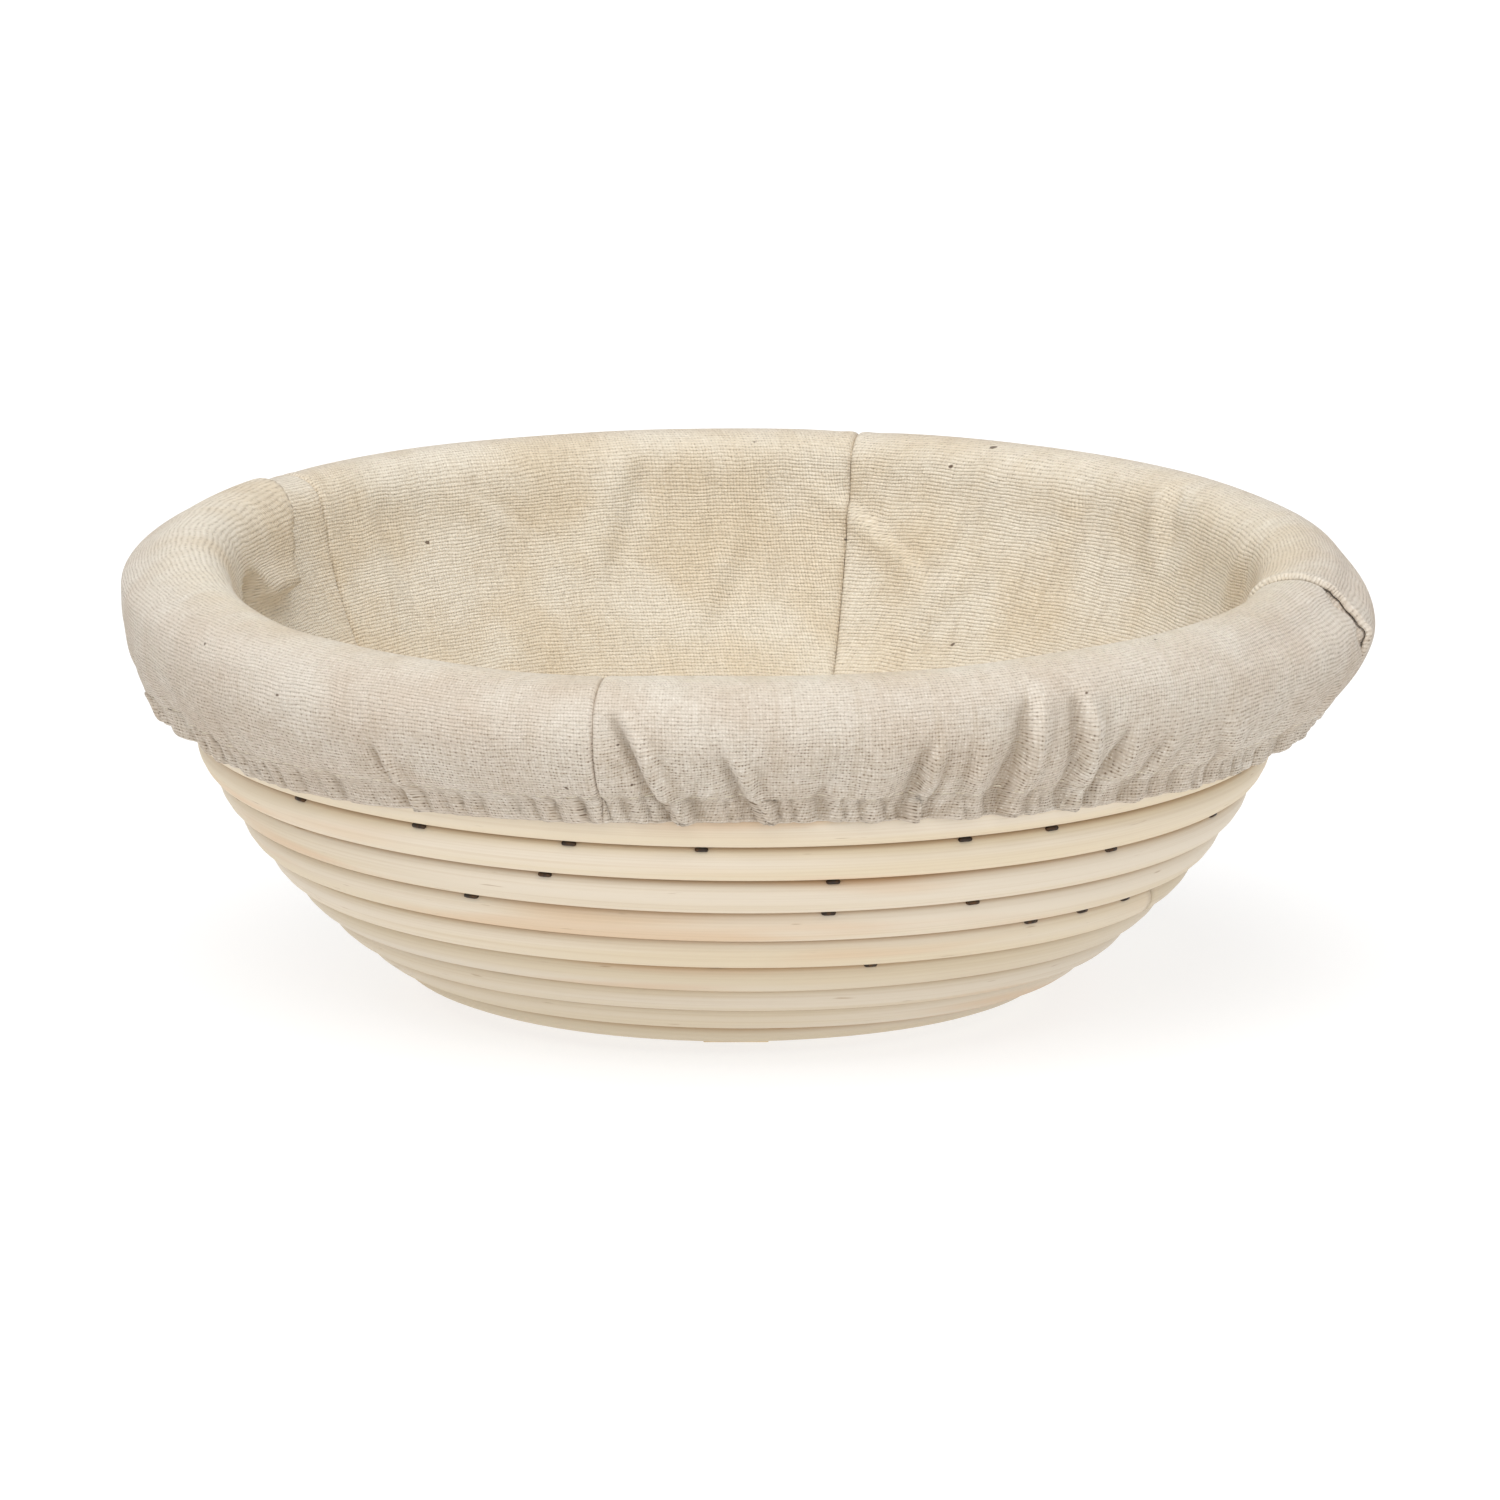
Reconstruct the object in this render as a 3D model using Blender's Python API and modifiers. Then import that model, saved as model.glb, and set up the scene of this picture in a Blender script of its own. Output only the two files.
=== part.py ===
"""Proofing basket (banneton) of coiled cane with a lift-out linen liner.

Frame: +Z up, metres. The origin is the centre of the basket on the surface it
stands on, and the front is -Y.

Basket: one long spiral of round cane, in five lengths joined end to end, wound
from a small hole in the middle of the flat base out to the foot turn and up the
flaring wall to the rim. Every turn is stapled down into the turn below it, and
the base stands on two crossed, half-lapped battens stapled to its underside.

Liner: four linen gores line the bowl and go over the rim, each continued as a
skirt to a gathered hem, with an elastic band in its casing. Strips of seam
allowance lie behind the gores. The liner lifts straight out of the basket.
"""

import math

import bmesh
import bpy
from mathutils import Matrix, Vector

# ---------------------------------------------------------------- dimensions
CANE_RADIUS = 0.0038
PITCH = 0.00818                 # from one turn of the coil to the next
FOOT_RADIUS = 0.05759           # centre line of the turn where the wall starts
WALL_BEND = 0.1030              # radius of the wall's curve, seen in section
WALL_START = math.radians(29.7)  # slope of the wall where it leaves the base
HOLE_RADIUS = 0.0065            # centre line of the first, innermost turn
FRONT = math.radians(270.0)
CROSSOVER = 0.528               # part of a turn from the front to the crossing
CROSSING = 0.12                 # part of a turn in which a levelled turn climbs
LEVELLED = 0.85                 # how level the rim's turn is
RIM_TURNS = 11.0                # turns of wall, foot turn to rim
RIM_END = 0.4                   # the cane's end at the rim, against its thickness
TURN_STEPS = 28
STRAND_ENDS = (0.62, 3.817, 6.35, 8.5)   # splices, in turns from the foot
SPLICE_GAP = 0.0004

BATTEN_THICKNESS = 0.0027
BATTEN_WIDTH = 0.0130
BATTEN_LENGTH = 0.0934
GAP = 0.0003                    # air between pieces that touch

STAPLE_CROWN = 0.0034
STAPLE_WIRE = 0.00042           # half the wire's diagonal
FRONT_STAPLES = (2.95, 3.84, 3.865, 3.89, 4.92, 4.97, 5.09, 5.81, 5.87, 5.97,
                 6.06, 6.90, 6.93, 7.01, 7.05, 7.10, 7.15)   # in turns
STAPLE_HOLE = 0.00086

SEAMS = tuple(math.radians(a) for a in (-103.4, -12.0, 77.7, 141.0))
SEAM_GAP = 0.00022              # half the gap between two gores
CLOTH = 0.0008
CLOTH_CLEARANCE = 0.0020        # cane to the back of the gores
STRIP = 0.0007
STRIP_WIDTH = 0.0090
SKIRT_TOP_Z = 0.0762
HEM_HEIGHT = 0.0078
HEM_RADIUS = 0.1067              # at the sides, where the hem hangs lowest
HEM_LOW_Z = 0.0475
HEM_FLARE = 0.45                 # the hem widens by this where it lies higher

BASE_Z = BATTEN_THICKNESS + GAP + CANE_RADIUS


# ---------------------------------------------------------------- the coil
def wall_point(s, out=0.0):
    """Radius and height s turns above the foot, out towards the outside."""
    if s <= 0.0:
        return FOOT_RADIUS + PITCH * s, BASE_Z - out
    slope = WALL_START + s * PITCH / WALL_BEND
    r = FOOT_RADIUS + WALL_BEND * (math.sin(slope) - math.sin(WALL_START))
    z = BASE_Z + WALL_BEND * (math.cos(WALL_START) - math.cos(slope))
    return r + out * math.sin(slope), z - out * math.cos(slope)


def smooth(t):
    t = min(max(t, 0.0), 1.0)
    return t * t * (3.0 - 2.0 * t)


def coil_height(u):
    """Turns above the foot after u turns of winding from the front.

    Low down the cane climbs steadily. Towards the rim each turn stays level
    and climbs to the next near the crossing at the back, so the rim is level.
    """
    level = LEVELLED * smooth(u / RIM_TURNS)
    turn = math.floor(u - CROSSOVER)
    f = u - CROSSOVER - turn
    climb = 0.5 * smooth(f / CROSSING) + 0.5 * smooth((f - 1.0) / CROSSING + 1.0)
    stepped = turn + 0.5 + climb
    return (1.0 - level) * u + level * stepped


def taper(u):
    """The cane is pared down to a thin end where the coil ends at the rim."""
    past = (u - RIM_TURNS - CROSSOVER) / CROSSING + 1.0
    return 1.0 - (1.0 - RIM_END) * smooth(past)


def coil_point(u):
    s = coil_height(u) - (1.0 - taper(u)) * CANE_RADIUS / PITCH
    r, z = wall_point(s)
    az = FRONT - 2.0 * math.pi * u
    return Vector((r * math.cos(az), r * math.sin(az), z))


# ---------------------------------------------------------------- helpers
def clear_scene():
    for obj in list(bpy.data.objects):
        bpy.data.objects.remove(obj, do_unlink=True)


def collection(name):
    group = bpy.data.collections.new(name)
    bpy.context.scene.collection.children.link(group)
    return group


def material(name, colour, roughness, metallic=0.0):
    mat = bpy.data.materials.new(name)
    mat.use_nodes = True
    shader = mat.node_tree.nodes["Principled BSDF"]
    shader.inputs["Base Color"].default_value = (*colour, 1.0)
    shader.inputs["Roughness"].default_value = roughness
    shader.inputs["Metallic"].default_value = metallic
    return mat


def add(obj, group, mat=None):
    group.objects.link(obj)
    if mat:
        obj.data.materials.append(mat)
    return obj


def tube(name, points, radius, group, mat, tilt_free=False, radii=None, sides=2):
    curve = bpy.data.curves.new(name, "CURVE")
    curve.dimensions = "3D"
    curve.bevel_depth = radius
    curve.bevel_resolution = sides
    curve.use_fill_caps = True
    curve.twist_mode = "MINIMUM" if tilt_free else "Z_UP"
    spline = curve.splines.new("POLY")
    spline.points.add(len(points) - 1)
    for i, (spot, p) in enumerate(zip(spline.points, points)):
        spot.co = (*p, 1.0)
        spot.radius = radii[i] if radii else 1.0
    return add(bpy.data.objects.new(name, curve), group, mat)


def to_mesh(obj, group):
    """Make a tube a welded mesh, so that holes can be cut in it."""
    bpy.context.view_layer.update()
    evaluated = obj.evaluated_get(bpy.context.evaluated_depsgraph_get())
    mesh = bpy.data.meshes.new_from_object(evaluated)
    bm = bmesh.new()
    bm.from_mesh(mesh)
    bmesh.ops.remove_doubles(bm, verts=bm.verts, dist=1e-6)
    bmesh.ops.recalc_face_normals(bm, faces=bm.faces)
    bm.to_mesh(mesh)
    bm.free()
    name, place = obj.name, obj.matrix_world.copy()
    bpy.data.objects.remove(obj, do_unlink=True)
    solid = bpy.data.objects.new(name, mesh)
    solid.matrix_world = place
    group.objects.link(solid)
    mesh.shade_smooth()
    mesh.set_sharp_from_angle(angle=math.radians(50.0))
    return solid


def frame_at(spot, x_axis, z_axis):
    """A placement with the given X axis, and Z as near z_axis as it can be."""
    x = x_axis.normalized()
    y = z_axis.cross(x).normalized()
    z = x.cross(y)
    turn = Matrix((x, y, z)).transposed().to_4x4()
    return Matrix.Translation(spot) @ turn


def block(name, size, group, mat=None, place=None, bevel=0.0):
    bm = bmesh.new()
    bmesh.ops.create_cube(bm, size=1.0)
    bmesh.ops.scale(bm, vec=size, verts=bm.verts)
    mesh = bpy.data.meshes.new(name)
    bm.to_mesh(mesh)
    bm.free()
    obj = add(bpy.data.objects.new(name, mesh), group, mat)
    if place:
        obj.matrix_world = place
    if bevel:
        mod = obj.modifiers.new("edges", "BEVEL")
        mod.width = bevel
        mod.segments = 1
    return obj


def as_cutter(obj):
    obj.hide_render = True
    obj.display_type = "WIRE"
    return obj


def peg(name, start, end, radius, group):
    """A six-sided cutter for one leg of a staple, from start to end."""
    bm = bmesh.new()
    length = (end - start).length
    bmesh.ops.create_cone(bm, cap_ends=True, segments=6, radius1=radius,
                          radius2=radius, depth=length)
    mesh = bpy.data.meshes.new(name)
    bm.to_mesh(mesh)
    bm.free()
    obj = add(bpy.data.objects.new(name, mesh), group)
    side = Vector((0.0, 0.0, 1.0)).cross(end - start)
    side = side if side.length > 1e-6 else Vector((1.0, 0.0, 0.0))
    obj.matrix_world = frame_at((start + end) / 2.0, side, end - start)
    return as_cutter(obj)


def cut(obj, cutter):
    mod = obj.modifiers.new(cutter.name, "BOOLEAN")
    mod.operation = "DIFFERENCE"
    mod.object = cutter


# ---------------------------------------------------------------- basket
def coil_steps(start, end):
    """Windings at which a strand has a point, the same in every turn.

    One more point close to each end squares the end to the winding.
    """
    square = 0.004
    first = math.ceil(start * TURN_STEPS + 0.4)
    last = math.floor(end * TURN_STEPS - 0.4)
    steps = [i / TURN_STEPS for i in range(first, last + 1)]
    return [start, start + square] + steps + [end - square, end]


def strand(name, start, end, group, mat):
    """One length of cane, wound from start to end."""
    steps = coil_steps(start, end)
    points = [coil_point(u) for u in steps]
    radii = [taper(u) for u in steps]
    obj = tube(name, points, CANE_RADIUS, group, mat, radii=radii)
    return to_mesh(obj, group)


def splice_trim(u):
    """Half the gap at a splice, in turns."""
    return SPLICE_GAP / 2.0 / (2.0 * math.pi * wall_point(coil_height(u))[0])


def build_cane(group, mat):
    names = ("cane_base", "cane_wall_low", "cane_wall_middle",
             "cane_wall_high", "cane_rim")
    first = (HOLE_RADIUS - FOOT_RADIUS) / PITCH
    ends = (first,) + STRAND_ENDS + (RIM_TURNS + CROSSOVER,)
    strands = []
    for name, a, b in zip(names, ends, ends[1:]):
        trim_a = splice_trim(a) if a > first else 0.0
        trim_b = splice_trim(b) if b < ends[-1] else 0.0
        strands.append((a, b, strand(name, a + trim_a, b - trim_b, group, mat)))
    return strands


def build_battens(group, cutters, mat):
    length = Vector((BATTEN_WIDTH, BATTEN_LENGTH, BATTEN_THICKNESS))
    lift = BATTEN_THICKNESS / 2.0
    along = block("batten_front_to_back", length, group, mat,
                  Matrix.Translation((0.0, 0.0, lift)), bevel=0.0005)
    across = block("batten_side_to_side", length, group, mat,
                   Matrix.Translation((0.0, 0.0, lift))
                   @ Matrix.Rotation(math.pi / 2.0, 4, "Z"), bevel=0.0005)
    room = BATTEN_WIDTH + 2.0 * GAP
    half = Vector((room, room, BATTEN_THICKNESS))
    upper = as_cutter(block("lap_upper", half, cutters, None,
                            Matrix.Translation((0.0, 0.0, 0.945 * 2.0 * lift))))
    lower = as_cutter(block("lap_lower", half, cutters, None,
                            Matrix.Translation((0.0, 0.0, 0.055 * 2.0 * lift))))
    cut(along, upper)
    cut(across, lower)
    return along, across


def staple(name, left, right, left_tip, right_tip, group, mat):
    return tube(name, [left_tip, left, right, right_tip], STAPLE_WIRE, group,
                mat, tilt_free=True, sides=0)


def strands_at(strands, u):
    margin = 0.03
    return [obj for a, b, obj in strands if a - margin <= u <= b + margin]


def wall_staple(index, u, strands, group, cutters, mat):
    """A staple in the groove above turn u, through it into the turn below."""
    az = FRONT - 2.0 * math.pi * u
    around = Vector((-math.sin(az), math.cos(az), 0.0))
    outward = Vector((math.cos(az), math.sin(az), 0.0))

    def spot(s, out):
        r, z = wall_point(s, out)
        return outward * r + Vector((0.0, 0.0, z))

    here, above, below = coil_height(u), coil_height(u + 1), coil_height(u - 1)
    crown = spot((here + above) / 2.0, 0.0027)
    tip = spot(below + 0.22, 0.0006)
    reach = (tip - crown).normalized() * GAP
    name = f"staple_wall_{index:02d}"
    side = around * (STAPLE_CROWN / 2.0)
    staple(name, crown - side, crown + side, tip - side * 0.8, tip + side * 0.8,
           group, mat)
    for sign, label in ((-1.0, "a"), (1.0, "b")):
        hole = peg(f"{name}_hole_{label}", crown + side * sign,
                   tip + side * (0.8 * sign) + reach * 2.2, STAPLE_HOLE, cutters)
        touched = {o.name: o for o in
                   strands_at(strands, u) + strands_at(strands, u - 1)}
        for obj in touched.values():
            cut(obj, hole)


def batten_staple(index, azimuth, turns_in, batten, strands, group, cutters, mat):
    """A staple across a batten, up into the turn of cane that lies on it."""
    u = (FRONT - azimuth) / (2.0 * math.pi) % 1.0 - turns_in
    r = wall_point(coil_height(u))[0]
    outward = Vector((math.cos(azimuth), math.sin(azimuth), 0.0))
    around = Vector((-math.sin(azimuth), math.cos(azimuth), 0.0))
    side = around * (STAPLE_CROWN / 2.0)
    crown = outward * r + Vector((0.0, 0.0, 0.0007))
    rise = Vector((0.0, 0.0, 0.0062))
    name = f"staple_batten_{index:02d}"
    staple(name, crown - side, crown + side, crown - side + rise,
           crown + side + rise, group, mat)
    size = Vector((STAPLE_CROWN + 0.0018, 0.0018, 0.0030))
    place = frame_at(outward * r, around, Vector((0.0, 0.0, 1.0)))
    slot = as_cutter(block(f"{name}_slot", size, cutters, None, place))
    cut(batten, slot)
    for sign, label in ((-1.0, "a"), (1.0, "b")):
        start = crown + side * sign - Vector((0.0, 0.0, 0.0010))
        end = crown + side * sign + rise + Vector((0.0, 0.0, 0.0005))
        hole = peg(f"{name}_hole_{label}", start, end, STAPLE_HOLE, cutters)
        cut(batten, hole)
        cut(strands[0][2], hole)


def build_staples(strands, battens, group, cutters, mat):
    along, across = battens
    index = 1
    for azimuth, batten in ((270.0, along), (90.0, along),
                            (0.0, across), (180.0, across)):
        for turns_in in (2, 4):
            batten_staple(index, math.radians(azimuth), turns_in, batten,
                          strands, group, cutters, mat)
            index += 1
    turns = [end - 0.035 for end in STRAND_ENDS] + [10.45]
    for number, u in enumerate(turns + list(FRONT_STAPLES), start=1):
        wall_staple(number, u, strands, group, cutters, mat)


# ---------------------------------------------------------------- liner
def crown_points():
    """Middle of the cloth from the top of the wall, over the rim and out."""
    rim_r, rim_z = wall_point(RIM_TURNS)
    offsets = ((-0.0030, 0.0053), (0.0010, 0.00596), (0.0050, 0.0045),
               (0.0078, 0.0018), (0.0089, -0.0016))
    return [(rim_r + dr, rim_z + dz) for dr, dz in offsets]


def bowl_points(first_radius, clearance, thickness, rows):
    """Middle of a cloth from near the centre of the base up the wall."""
    inside = -(CANE_RADIUS + clearance + thickness / 2.0)
    flat = [(r, BASE_Z - inside) for r in (first_radius, 0.016, 0.030, 0.046)]
    wall = [wall_point(0.35 + 0.98 * i, inside) for i in range(rows)]
    return flat + wall


def around_angle(seam, side, r, gap):
    return seam + side * math.asin(min(0.9, gap / r))


def panel(name, profile, start, end, steps, thickness, group, mat, hem=None):
    """Cloth between two seams: a profile swept round, given its thickness."""
    bm = bmesh.new()
    rows = []
    for r, z in profile:
        a = around_angle(start, 1.0, r, SEAM_GAP)
        b = around_angle(end, -1.0, r, SEAM_GAP)
        row = []
        for i in range(steps + 1):
            az = a + (b - a) * i / steps
            wide, lift = hem(az, z) if hem else (0.0, 0.0)
            row.append(bm.verts.new(((r + wide) * math.cos(az),
                                     (r + wide) * math.sin(az), z + lift)))
        rows.append(row)
    for low, high in zip(rows, rows[1:]):
        for i in range(steps):
            bm.faces.new((low[i], low[i + 1], high[i + 1], high[i]))
    bmesh.ops.recalc_face_normals(bm, faces=bm.faces)
    mesh = bpy.data.meshes.new(name)
    bm.to_mesh(mesh)
    bm.free()
    mesh.shade_smooth()
    obj = add(bpy.data.objects.new(name, mesh), group, mat)
    mod = obj.modifiers.new("cloth", "SOLIDIFY")
    mod.thickness = thickness
    mod.offset = 0.0
    mod.use_even_offset = True
    return obj


def hem_level(az):
    """How far the hem lies above its lowest level: most at the front."""
    front = max(0.0, -math.sin(az)) ** 2
    back = max(0.0, math.sin(az)) ** 2
    return 0.0090 * front + 0.0030 * back


def skirt_shift(az, z):
    """Moves a skirt point out and up, so that its lower edge follows the hem."""
    share = (SKIRT_TOP_Z - z) / (SKIRT_TOP_Z - HEM_LOW_Z - HEM_HEIGHT - GAP)
    return share * hem_level(az) * HEM_FLARE, share * hem_level(az)


def skirt_points():
    top_r = crown_points()[-1][0]
    low_z = HEM_LOW_Z + HEM_HEIGHT + GAP + 0.0002
    drop = SKIRT_TOP_Z - low_z
    width = top_r - HEM_RADIUS - 0.0002
    shape = ((0.0, 0.0), (0.02, 0.25), (0.20, 0.55), (0.58, 0.80), (1.0, 1.0))
    return [(top_r - width * d, SKIRT_TOP_Z - drop * t) for d, t in shape]


def build_gores(group, mat):
    names = ("front", "right", "rear", "left")
    ends = SEAMS[1:] + (SEAMS[0] + 2.0 * math.pi,)
    for name, start, end in zip(names, SEAMS, ends):
        steps = max(5, round((end - start) / math.radians(11.5)))
        profile = bowl_points(0.0016, CLOTH_CLEARANCE, CLOTH, 12)
        profile += crown_points()
        panel(f"liner_gore_{name}", profile, start, end, steps, CLOTH, group, mat)
        panel(f"liner_skirt_{name}", skirt_points(), start, end, steps, CLOTH,
              group, mat, skirt_shift)


def build_strips(group, mat):
    """Seam allowance behind each seam of the bowl, pressed flat."""
    clearance = CLOTH_CLEARANCE - GAP - STRIP
    profile = bowl_points(0.0140, clearance, STRIP, 11)
    for name, seam in zip(("front_left", "right", "rear_right", "rear_left"),
                          SEAMS):
        bm = bmesh.new()
        rows = []
        for r, z in profile:
            half = STRIP_WIDTH / 2.0 / r
            rows.append([bm.verts.new((r * math.cos(seam + a),
                                       r * math.sin(seam + a), z))
                         for a in (-half, 0.0, half)])
        for low, high in zip(rows, rows[1:]):
            for i in range(2):
                bm.faces.new((low[i], low[i + 1], high[i + 1], high[i]))
        bmesh.ops.recalc_face_normals(bm, faces=bm.faces)
        mesh = bpy.data.meshes.new(f"seam_{name}")
        bm.to_mesh(mesh)
        bm.free()
        obj = add(bpy.data.objects.new(f"seam_{name}", mesh), group, mat)
        mod = obj.modifiers.new("cloth", "SOLIDIFY")
        mod.thickness = STRIP
        mod.offset = 0.0
        mod.use_even_offset = True


def ring(name, section, group, mat, steps=32):
    """A closed section (radius, height above the hem level) swept all round."""
    bm = bmesh.new()
    loops = []
    for i in range(steps):
        az = 2.0 * math.pi * i / steps
        lift = hem_level(az)
        wide = lift * HEM_FLARE
        loops.append([bm.verts.new(((r + wide) * math.cos(az),
                                    (r + wide) * math.sin(az),
                                    HEM_LOW_Z + lift + z)) for r, z in section])
    count = len(section)
    for i in range(steps):
        a, b = loops[i], loops[(i + 1) % steps]
        for j in range(count):
            k = (j + 1) % count
            bm.faces.new((a[j], a[k], b[k], b[j]))
    bmesh.ops.recalc_face_normals(bm, faces=bm.faces)
    mesh = bpy.data.meshes.new(name)
    bm.to_mesh(mesh)
    bm.free()
    mesh.shade_smooth()
    return add(bpy.data.objects.new(name, mesh), group, mat)


def build_hem(group, cloth, rubber):
    """The turned-up hem, a channel open at the top, with elastic lying in it."""
    wall, room, r = 0.0006, 0.0014, HEM_RADIUS
    outer, inner = r + room / 2.0 + wall, r - room / 2.0 - wall
    h = HEM_HEIGHT
    channel = ((outer, 0.0), (outer, h), (outer - wall, h), (outer - wall, wall),
               (inner + wall, wall), (inner + wall, h - 0.001),
               (inner, h - 0.001), (inner, 0.0))
    ring("liner_hem", channel, group, cloth)
    band = ((r + 0.0004, 0.0012), (r + 0.0004, 0.0062), (r - 0.0004, 0.0062),
            (r - 0.0004, 0.0012))
    ring("hem_elastic", band, group, rubber)


# ---------------------------------------------------------------- assembly
def build():
    clear_scene()
    parts = collection("banneton_basket")
    cutters = collection("cutters")
    cane = material("cane", (0.78, 0.67, 0.49), 0.62)
    wood = material("batten_wood", (0.70, 0.58, 0.40), 0.65)
    steel = material("staple_steel", (0.16, 0.14, 0.12), 0.45, 0.9)
    linen = material("linen", (0.74, 0.69, 0.58), 0.92)
    rubber = material("elastic", (0.86, 0.85, 0.82), 0.80)
    strands = build_cane(parts, cane)
    battens = build_battens(parts, cutters, wood)
    build_staples(strands, battens, parts, cutters, steel)
    build_gores(parts, linen)
    build_strips(parts, linen)
    build_hem(parts, linen, rubber)


build()
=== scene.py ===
import functools
import math

import bpy
import numpy as np
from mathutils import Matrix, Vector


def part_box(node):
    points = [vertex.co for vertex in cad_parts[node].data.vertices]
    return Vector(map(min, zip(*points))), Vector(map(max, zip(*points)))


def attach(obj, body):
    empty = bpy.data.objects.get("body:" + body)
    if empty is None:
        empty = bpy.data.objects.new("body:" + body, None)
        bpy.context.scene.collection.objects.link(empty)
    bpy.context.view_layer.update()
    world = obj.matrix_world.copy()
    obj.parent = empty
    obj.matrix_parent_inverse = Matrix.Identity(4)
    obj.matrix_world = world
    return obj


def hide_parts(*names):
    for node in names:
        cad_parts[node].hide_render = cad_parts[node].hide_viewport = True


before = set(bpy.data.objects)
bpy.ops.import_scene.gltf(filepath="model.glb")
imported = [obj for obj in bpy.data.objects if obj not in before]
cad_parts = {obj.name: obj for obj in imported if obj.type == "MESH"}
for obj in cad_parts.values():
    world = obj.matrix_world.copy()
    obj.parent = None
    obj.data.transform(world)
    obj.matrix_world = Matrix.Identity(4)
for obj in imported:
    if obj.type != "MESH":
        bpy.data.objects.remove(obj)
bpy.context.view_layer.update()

MM = 0.001

# ---------------------------------------------------------------- the coil
CANE = 3.8 * MM                  # half the cane's thickness
PITCH = 8.18 * MM                # from one turn of the coil to the next
FOOT_RADIUS = 57.59 * MM         # centre line of the turn where the wall starts
WALL_BEND = 103.0 * MM           # radius of the wall's curve, seen in section
WALL_START = math.radians(29.7)  # slope of the wall where it leaves the base
HOLE_RADIUS = 6.5 * MM
FRONT = math.radians(270.0)
CROSSOVER = 0.528                # part of a turn from the front to the crossing
CROSSING = 0.12                  # part of a turn in which a levelled turn climbs
LEVELLED = 0.85                  # 0: the coil climbs evenly; 1: level turns at the rim
RIM_TURNS = 11.0                 # turns of the wall from the foot to the rim
RIM_END = 0.4                    # thickness left where the cane ends at the rim
STRANDS = (("cane_base", (HOLE_RADIUS - FOOT_RADIUS) / PITCH, 0.62),
           ("cane_wall_low", 0.62, 3.817),
           ("cane_wall_middle", 3.817, 6.35),
           ("cane_wall_high", 6.35, 8.5),
           ("cane_rim", 8.5, RIM_TURNS + CROSSOVER))
SHADE_TONES = (0.91, 0.93, 0.965, 0.985, 1.0)   # painted shade: how far each strand's cane colour is darkened, the lower strands more
BASE_Z = float(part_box("cane_base")[0][2]) + CANE
CANE_STEP = 2.4 * MM             # between two rings of a strand's surface
CANE_SIDES = 22
CANE_WAVER = 0.14 * MM           # how far the cane strays from its line
SECTION_POWER = 2.0 / 2.75       # below 1, the cane's section is squarer than round
SPLICE_SLANT = 0.6               # lean of a strand's end against its height
SPLICE_REACH = 9.0 * MM          # from a strand's end to where the lean starts
SPLICE_GAP = 0.6 * MM
STAPLE_WIRE = 0.46 * MM          # half the thickness of the wire of a front staple
STAPLE_CROWNS = (1.9, 2.3)       # width of a front staple, least and most, in mm
SMALL_WIRE = 0.36 * MM           # the same for the staples along the turns
SMALL_CROWN = 2.6 * MM
STAPLE_SPACING = 27.0 * MM
STAPLE_ROOM = 9.0 * MM           # kept free on both sides of a front staple

# ---------------------------------------------------------------- the liner
SEAMS = tuple(math.radians(a) for a in (-103.4, -12.0, 77.7, 141.0))
GORES = ("front", "right", "rear", "left")
CLOTH = 0.45 * MM                # thickness of the linen
BOWL_RADIUS = 98.0 * MM          # round figures for the cloth's radius in the bowl,
SKIRT_RADIUS = 115.0 * MM        # at the middle of the skirt,
HEM_RADIUS = 112.0 * MM          # at the hem,
CROWN_RADIUS = 121.0 * MM        # and where it is widest, over the rim
CLOTH_CLEARANCE = 2.4 * MM       # from the cane to the middle of the cloth
HEM_TURN = 7.5 * MM              # height of the hem's casing
COLUMN = 0.85 * MM               # between two columns of the cloth's surface
BESIDE_SEAM = (0.06, 0.22, 0.42, 0.66, 0.95, 1.35, 1.9, 2.6)   # columns there, in mm
WEFT = 0.66 * MM                 # from one thread to the next, down the cloth
WARP = 0.60 * MM                 # and across it
CROWN_TRAVEL = 154.0 * MM        # down the cloth, from the bowl's centre to the rim
HEM_LOW = float(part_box("liner_hem")[0][2])
HEM_RISE_FRONT = 9.0 * MM        # how much higher the hem is at the front
HEM_RISE_BACK = 3.0 * MM         # and at the back
HEM_CLEARANCE = 2.3 * MM         # from the cane to the hem
ALLOWANCE = 5.0 * MM             # width of a seam allowance on each side
BEHIND = 0.85 * MM               # how far the allowances lie behind the cloth
STITCH = 3.0 * MM                # from one stitch of the hem to the next
THREAD = 0.17 * MM               # half the thickness of the sewing thread
DARKEST = 0.42                   # share of shade in the deepest hollow of a fold
FULLNESS = 1.04                  # cut width of the cloth against its width as worn


def smooth(t):
    """Eases from 0 to 1 as t goes from 0 to 1."""
    t = np.clip(t, 0.0, 1.0)
    return t * t * (3.0 - 2.0 * t)


def wander(x, seed, period=4096):
    """Smooth random values from -1 to 1, a new one at each whole x."""
    knots = np.random.default_rng(seed).uniform(-1.0, 1.0, period)
    low = np.floor(x).astype(int)
    part = smooth(x - low)
    return knots[low % period] * (1.0 - part) + knots[(low + 1) % period] * part


def rumple(x, y, seed, period):
    """Smooth random values over a plane, repeating every period in x."""
    knots = np.random.default_rng(seed).uniform(-1.0, 1.0, (period, 256))
    i, j = np.floor(x).astype(int), np.floor(y).astype(int)
    u, v = smooth(x - i), smooth(y - j)
    i0, i1, j0, j1 = i % period, (i + 1) % period, j % 256, (j + 1) % 256
    low = knots[i0, j0] * (1.0 - u) + knots[i1, j0] * u
    high = knots[i0, j1] * (1.0 - u) + knots[i1, j1] * u
    return low * (1.0 - v) + high * v


def wall_angle(s):
    """Slope of the section s turns above the foot, eased in from the flat base."""
    return WALL_START * smooth(s + 0.5) + np.maximum(s, 0.0) * PITCH / WALL_BEND


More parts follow.
